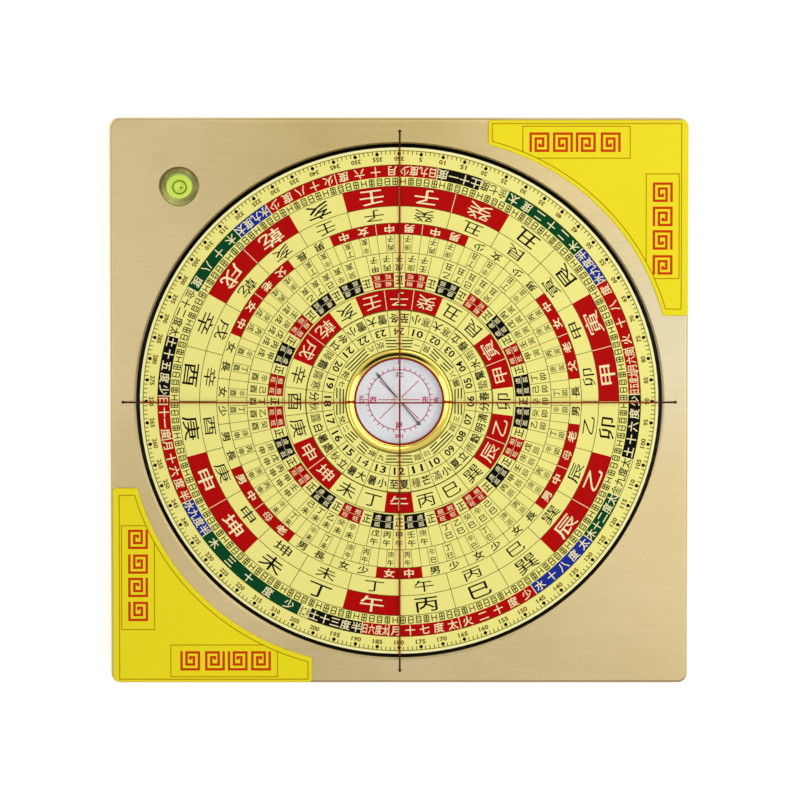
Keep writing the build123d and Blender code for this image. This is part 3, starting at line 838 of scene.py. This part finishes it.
def mark_cells(signs):
    """A ring of small boxed marks of five kinds."""
    sheet = signs["olive"]
    for index in range(360 // mark_turn):
        place = frame_at(sum(mark_ring) / 2, mark_turn * (index + 0.5))
        kind = index * mark_kind_step % mark_kinds
        for side in (-1, 1):
            post(sheet, place, mark_tall, mark_pen, side * mark_wide)
            if kind:
                bar(sheet, place, mark_wide, mark_pen, side * mark_tall)
        if kind in (0, 1, 3):
            bar(sheet, place, mark_wide, mark_pen)
        if kind in (2, 3):
            post(sheet, place, mark_tall, mark_pen)
        if kind in (2, 4):
            for y in (-mark_inner_bar, mark_inner_bar):
                bar(sheet, place, mark_bar_reach, mark_pen, y)
    circle_line(sheet, mark_ring[0])


def ring_lines(sheet, rim, turn, offset=0.0, width=line_width):
    """Lines between the cells of a ring, and the circle inside them."""
    for index in range(round(360 / turn)):
        radial_line(sheet, *rim, turn * index + offset, width)
    circle_line(sheet, rim[0])


def side_by_side(sheet, pair, rim, bearing, spread, size):
    """Two signs at the same radius."""
    for symbol, side in zip(pair, (-spread, spread)):
        sign(sheet, symbol, frame_at(sum(rim) / 2, bearing + side), *size)


def mountain_cell(cells, signs, rim, index, middle):
    """A red or a plain cell of one of the 24 mountains, and the line before it."""
    start = middle - half_cell
    red = mountains[index] in red_mountains
    previous_red = mountains[index - 1] in red_mountains
    if red:
        sector(cells["red"], *rim, start, middle + half_cell)
    if red and previous_red:
        radial_line(signs["pale"], *rim, start, split_line)
    elif not red and not previous_red:
        radial_line(signs["olive"], *rim, start)
    return red


def mountain_ring(cells, signs, rim, offset, size):
    """A ring of 24 signs. Red cells have pale signs, and the rest have black ones."""
    for index, symbol in enumerate(mountains):
        middle = cell_turn * index + offset
        red = mountain_cell(cells, signs, rim, index, middle)
        sign(signs["pale" if red else "black"], symbol, frame_at(sum(rim) / 2, middle), *size)
    for radius in rim:
        circle_line(signs["olive"], radius)


def shifted_ring(signs):
    """The 24 signs again, one cell further on, smaller and all black."""
    for index, symbol in enumerate(mountains[1:] + mountains[0]):
        place = frame_at(sum(shifted_rim) / 2, cell_turn * index + half_cell)
        sign(signs["black"], symbol, place, *shifted_sign)
    ring_lines(signs["olive"], shifted_rim, cell_turn)


def family_ring(cells, signs):
    for index, pair in enumerate(families):
        middle = cell_turn * index
        red = mountain_cell(cells, signs, family_rim, index, middle)
        sheet = signs["pale" if red else "ink_dark"]
        side_by_side(sheet, pair, family_rim, middle, family_spread, family_sign)
    circle_line(signs["olive"], family_rim[0])


def column_ring(signs):
    """Five narrow columns in each cell, with two stacked signs in the second and the fourth."""
    for index in range(len(mountains)):
        branch = branches[index // 2]
        inner = "丙庚" if branch in bright_branches else "丁辛"
        for side, stem in zip((-column_turn, column_turn), inner):
            pair = branch, stem
            bearing = cell_turn * index + side
            stacked(signs["ink_dark"], pair, column_shares, column_rim, bearing, column_sign)
    ring_lines(signs["olive"], column_rim, column_turn, -half_cell, column_line)


def branch_ring(signs):
    """Cells with a stem near the middle of the dial and a branch outside it."""
    for branch, symbol in enumerate(branches):
        for step in range(5):
            bearing = 2 * cell_turn * branch + branch_turn * (step - 2)
            pair = symbol, stems[(branch + 2 * step) % len(stems)]
            stacked(signs["ink_dark"], pair, branch_shares, branch_rim, bearing, branch_sign)
    ring_lines(signs["olive"], branch_rim, branch_turn, branch_turn / 2, branch_line)


def luck_ring(cells, signs):
    """Pairs of red or black cells between plain ones with one sign."""
    middle = sum(luck_rim) / 2
    for index, colour in enumerate(luck_pattern):
        start = cell_turn * index
        sign(signs["black"], "正", frame_at(middle, start), *upright_sign)
        for bearing in (start + 2 * luck_half, start + 4 * luck_half):
            edges = bearing - luck_half, bearing + luck_half
            sector(cells["red" if colour == "R" else "black"], *luck_rim, *edges)
            for edge in edges:
                radial_line(signs["pale"], *luck_rim, edge, luck_line)
            sector(signs["pale"], middle - luck_split / 2, middle + luck_split / 2, *edges)
            stacked(signs["pale"], luck_signs[colour], luck_shares, luck_rim, bearing, luck_sign)
    ring_lines(signs["olive"], luck_rim, cell_turn, -luck_half)


def term_ring(signs):
    for index, pair in enumerate(solar_terms):
        side_by_side(signs["black"], pair, term_rim, cell_turn * index, term_spread, term_sign)
    ring_lines(signs["olive"], term_rim, cell_turn, -half_cell)
    circle_line(signs["olive"], term_rim[1])


def number_ring(signs):
    """Numbers from 01 to 24, the last one at the top."""
    for index in range(24):
        place = frame_at(sum(number_rim) / 2, cell_turn * index)
        number(signs["black"], f"{index or 24:02d}", place, *ring_number)
    ring_lines(signs["olive"], number_rim, cell_turn, -half_cell)


def trigram_ring(signs):
    """Eight cells with a name, three whole or broken bars and a number."""
    sheet = signs["ink_dark"]
    middle = sum(trigram_rim) / 2 + trigram_lift
    for index, (name, *bars, count) in enumerate(trigrams):
        bearing = trigram_turn * index
        sign(sheet, name, frame_at(middle, bearing + trigram_name_turn), *trigram_name)
        sign(sheet, count, frame_at(middle, bearing + trigram_count_turn), *trigram_count)
        radial_line(signs["olive"], *trigram_rim, bearing - trigram_turn / 2)
        for whole, radius in zip(bars, trigram_bars):
            place = frame_at(radius * cos(radians(trigram_bar_sag)), bearing)
            reach = radius * sin(radians(trigram_bar_half))
            gap = radius * sin(radians(trigram_gap_half))
            parts = [(-reach, reach)] if whole == "1" else [(-reach, -gap), (gap, reach)]
            for left, right in parts:
                rectangle(sheet, place, left, right, -trigram_pen / 2, trigram_pen / 2)


def print_dial():
    cells, signs = dial_sheets()
    # A printed border just outside the bezel, dark so that it also gives painted shade where the
    # bezel meets the dial
    circle_line(signs["ink_dark"], trigram_rim[0], innermost_line_and_shade)
    degree_scale(cells, signs)
    element_ring(cells, signs)
    mark_cells(signs)
    mountain_ring(cells, signs, mountain_rim, half_cell, mountain_sign)
    shifted_ring(signs)
    family_ring(cells, signs)
    column_ring(signs)
    branch_ring(signs)
    luck_ring(cells, signs)
    mountain_ring(cells, signs, inner_rim, 0, inner_sign)
    term_ring(signs)
    number_ring(signs)
    trigram_ring(signs)
    for sheet in (*cells.values(), *signs.values()):
        sheet.build()


def print_card():
    """Tick circle, spokes, four directions and four numbers. The north's are violet."""
    ticks = Print("card_print", "crimson", card_top + sign_lift, "dial", "capsule_card")
    north = Print("card_north", "violet", card_top + sign_lift, "dial", "capsule_card")
    circle_line(ticks, card_circle, card_line)
    for bearing in range(0, 360, card_tick_turn):
        radial_line(ticks, card_circle, card_circle + card_tick, bearing, card_line)
    for bearings, low, high, width in card_spokes:
        for bearing in bearings:
            radial_line(ticks, low, high, bearing, width)
    for symbol, bearing in (("东", 90), ("南", 180), ("西", 270)):
        sign(ticks, symbol, upright(*at(card_names, bearing)), *card_name)
    sign(north, "北", upright(*at(card_names, 0)), *card_north_name)
    for text, bearing, turn, radius, *size in card_numbers:
        number(ticks if bearing else north, text, upright(*at(radius, bearing), turn), *size)
    ticks.build()
    north.build()


def bezel_ring():
    """The gold ring with its crown, curved slope and lip, turned about the middle of the dial."""
    inner, outer = bezel_skirt
    seat = face_top + gasket_rise * MM
    section = [(inner, bezel_low), (outer, bezel_low), (outer, face_top)]
    section += [(radius, bezel_high - drop * MM) for radius, drop in bezel_curve]
    section += [(bezel_curve[-1][0], seat), (inner, seat)]
    points = []
    faces = []
    count = len(section)
    for side in range(bezel_sides):
        following = (side + 1) % bezel_sides
        for radius, z in section:
            x, y = at(radius * MM, side * 360 / bezel_sides)
            points.append((x, y, z))
        for index in range(count):
            after = (index + 1) % count
            faces.append((side * count + index, side * count + after,
                          following * count + after, following * count + index))
    piece = new_piece("bezel_ring", points, faces, finishes["bezel"])
    piece.data.shade_smooth()
    piece.data.set_sharp_from_angle(angle=radians(bezel_crease))
    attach(piece, "dial")
    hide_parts("bezel")


def print_level():
    """The ring that the bubble is brought into, and a dot."""
    sheet = Print("level_print", "level_line", vial_top + sign_lift, "base", "clear_acrylic")
    circle_line(sheet, level_ring_radius, level_ring_line, upright(*level_ring_middle))
    dot(sheet, upright(*level_dot_middle), level_dot_radius)
    sheet.build()


def stroke_line(sheet, corners, pen, place):
    """One pen stroke with square corners along lines that run up, down or across."""
    for ends in zip(corners, corners[1:]):
        start, end = placed(ends, place)
        length = dist(start, end)
        run = ((end[0] - start[0]) / length, (end[1] - start[1]) / length)
        line_place = start, run, (-run[1], run[0])
        rectangle(sheet, line_place, -pen / 2, length - pen / 2, -pen / 2, pen / 2)


def key_fret(sheet, place, mirrored):
    """A square spiral in one stroke."""
    pen = fret_side / fret_pens
    reach = fret_side / 2 - pen / 2
    inner = reach - 2 * pen
    corners = [(-reach, -reach), (-reach, reach), (reach, reach), (reach, -reach), (-inner, -reach),
               (-inner, inner), (inner, inner), (inner, -inner), (0, -inner), (0, 0)]
    if mirrored:
        corners = [(-x, y) for x, y in corners]
    stroke_line(sheet, corners, pen, place)


def arc_height(x):
    """How high the plates' hollow line runs above a point across, or the two swapped."""
    return plate_arc_middle + sqrt(plate_arc_radius ** 2 - (x - plate_arc_middle) ** 2)


def cut_box(sheet, box, place):
    """A frame of lines whose lower left corner is cut off by the plates' hollow line."""
    left, right, low, high = box
    half = plate_line / 2
    rectangle(sheet, place, left - half, left + half, arc_height(left), high + half)
    rectangle(sheet, place, right - half, right + half, low - half, high + half)
    rectangle(sheet, place, left + half, right - half, high - half, high + half)
    rectangle(sheet, place, arc_height(low), right - half, low - half, low + half)


def print_plate(name, turn):
    """Frame lines and eight key frets."""
    place = upright(*plate_middle, turn)
    lines = Print(f"{name}_lines", "ochre", plate_top + cell_lift, "base", "yellow_enamel")
    frets = Print(f"{name}_frets", "fret", plate_top + sign_lift, "base", "yellow_enamel")
    for box in (plate_frame, wide_box, tall_box):
        cut_box(lines, box, place)
    left, _, low, _ = plate_frame
    ends = [degrees(asin((x - plate_arc_middle) / plate_arc_radius))
            for x in (left, arc_height(low))]
    half = plate_line / 2
    centre = placed([(plate_arc_middle, plate_arc_middle)], place)[0]
    sector(lines, plate_arc_radius - half, plate_arc_radius + half, *ends, (centre, *place[1:]))
    spots = [(x, (wide_box[2] + wide_box[3]) / 2) for x in wide_box_frets]
    spots += [((tall_box[0] + tall_box[1]) / 2, y) for y in tall_box_frets]
    for index, spot in enumerate(placed(spots, place)):
        key_fret(frets, (spot, *place[1:]), index % 2)
    lines.build()
    frets.build()


def add_camera():
    tilt = radians(camera_tilt)
    back = Vector((0, sin(tilt), cos(tilt)))
    target = Vector((aim_right * pixel_size, aim_up * pixel_size / cos(tilt), base_top))
    lens = bpy.data.cameras.new("camera")
    lens.sensor_width = camera_sensor
    lens.lens = camera_sensor * camera_distance / (image_side * pixel_size)
    lens.clip_start, lens.clip_end = camera_clip
    camera = bpy.data.objects.new("camera", lens)
    camera.location = target + back * camera_distance
    camera.rotation_euler = (-tilt, 0, 0)
    scene.collection.objects.link(camera)
    scene.camera = camera


def add_lamp(name, bearing, elevation, distance, width, power, colour):
    """A square lamp that looks at the middle of the compass."""
    lamp = bpy.data.lights.new(name, "AREA")
    lamp.shape = "SQUARE"
    lamp.size = width
    lamp.energy = power
    lamp.color = colour
    holder = bpy.data.objects.new(name, lamp)
    x, y = at(distance * cos(radians(elevation)), bearing)
    holder.location = (x, y, distance * sin(radians(elevation)))
    holder.rotation_euler = (-holder.location).to_track_quat("-Z", "Y").to_euler()
    scene.collection.objects.link(holder)


def room_brightness(tree):
    """A plain room whose horizon is bright at the sides and dim in the south, with a dark panel."""
    direction = tree.add("ShaderNodeTexCoord").outputs["Generated"]
    x, y, z = tree.apart(direction)
    low = tree.range(z, 0.0, 1.0, *horizon_heights)
    north = tree.range(y, 0.0, 1.0, *horizon_turn)
    side = tree.range(tree.math("ABSOLUTE", x), *horizon_gain, 0.0, 1.0)
    horizon = tree.math("SUBTRACT", tree.times(north, side), horizon_loss)
    toward = tree.add("ShaderNodeVectorMath")
    toward.operation = "DOT_PRODUCT"
    toward.inputs[1].default_value = Vector(patch_direction).normalized()
    tree.join(direction, toward.inputs[0])
    edges = [cos(radians(angle)) for angle in patch_angles]
    patch = tree.range(toward.outputs["Value"], 1.0, patch_share, *edges, "SMOOTHSTEP")
    return tree.times(tree.plus(tree.times(low, horizon), 1.0), patch)


def add_world():
    """White where it is seen, a room where it is mirrored, and plain daylight for the rest."""
    world = bpy.data.worlds.new("daylight")
    world.use_nodes = True
    tree = Nodes(world.node_tree)
    rays = tree.add("ShaderNodeLightPath").outputs
    seen = tree.largest(rays["Is Camera Ray"], rays["Is Transmission Ray"])
    mirrored = tree.times(rays["Is Glossy Ray"], room_brightness(tree))
    rest = tree.math("SUBTRACT", 1.0, tree.largest(seen, rays["Is Glossy Ray"]))
    strength = tree.plus(tree.largest(seen, mirrored), tree.times(rest, daylight))
    background = tree.add("ShaderNodeBackground")
    tree.join(strength, background.inputs["Strength"])
    output = tree.add("ShaderNodeOutputWorld")
    tree.join(background.outputs[0], output.inputs["Surface"])
    scene.world = world


def table_finish():
    """White that keeps the compass's shadow and fades to white where it is seen."""
    finish = Finish("white_table", specular=0.1)
    rays = finish.add("ShaderNodeLightPath").outputs
    seen = finish.largest(rays["Is Camera Ray"], rays["Is Glossy Ray"], rays["Is Transmission Ray"])
    x, y, _ = finish.apart(finish.add("ShaderNodeNewGeometry").outputs["Position"])
    beside = finish.math("GREATER_THAN", finish.math("ABSOLUTE", x), finish.math("ABSOLUTE", y))
    mirrored = finish.times(beside, rays["Is Glossy Ray"])
    strength = finish.plus(finish.times(seen, table_glow), finish.times(mirrored, table_side_glow))
    glow = finish.add("ShaderNodeEmission")
    finish.join(strength, glow.inputs["Strength"])
    total = finish.add("ShaderNodeAddShader")
    finish.join(finish.shader.outputs["BSDF"], total.inputs[0])
    finish.join(glow.outputs[0], total.inputs[1])
    finish.surface(total.outputs[0])
    grain = finish.grain(2.0)
    tone = finish.blend(grain, linear(246, 246, 246), linear(250, 250, 250))
    return finish.made(tone, finish.range(grain, 0.8, 0.9))


def add_table():
    squares = ((-1, -1), (1, -1), (1, 1), (-1, 1))
    corners = [(x * table_reach, y * table_reach, -table_drop) for x, y in squares]
    new_piece("table", corners, [(0, 1, 2, 3)], table_finish())


bezel_ring()
print_dial()
print_card()
print_level()
print_plate("plate_ne", 0)
print_plate("plate_sw", 180)

add_camera()
add_world()
add_table()
for lamp_facts in lamps:
    add_lamp(*lamp_facts)
scene.view_settings.view_transform = "Standard"
